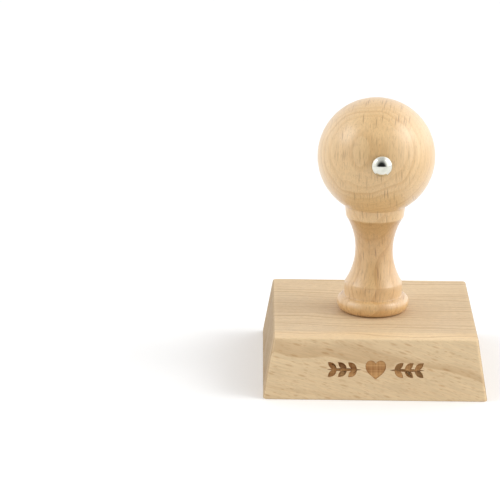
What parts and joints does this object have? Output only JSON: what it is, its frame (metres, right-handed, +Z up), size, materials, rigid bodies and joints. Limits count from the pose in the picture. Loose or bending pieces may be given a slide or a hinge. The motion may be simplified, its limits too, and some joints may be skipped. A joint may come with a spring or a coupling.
{
  "type": "wooden hand stamp",
  "caption": "Wooden hand stamp: a turned ball-grip handle with a bright front stud on a square block with sloping sides and an engraved face of hearts in a diamond.",
  "frame": {"origin": "centre of the stamping face, on the surface the stamp stands on", "axes": "+Z up along the handle, -Y towards the front, the side with the stud; +X to the right seen from the front"},
  "size_m": [0.0658, 0.0658, 0.0832],
  "materials": {
    "beech_block": "unvarnished sanded beech, laser-burnt brown where it is engraved",
    "beech_handle": "turned beech under a thin satin clear lacquer",
    "polished_nickel": "bright nickel plate",
    "zinc_steel": "zinc-plated steel"
  },
  "bodies": {
    "root": {"stamp_block": "beech_block", "turned_handle": "beech_handle", "front_marker_stud": "polished_nickel", "dowel_screw": "zinc_steel"}
  },
  "joints": []
}
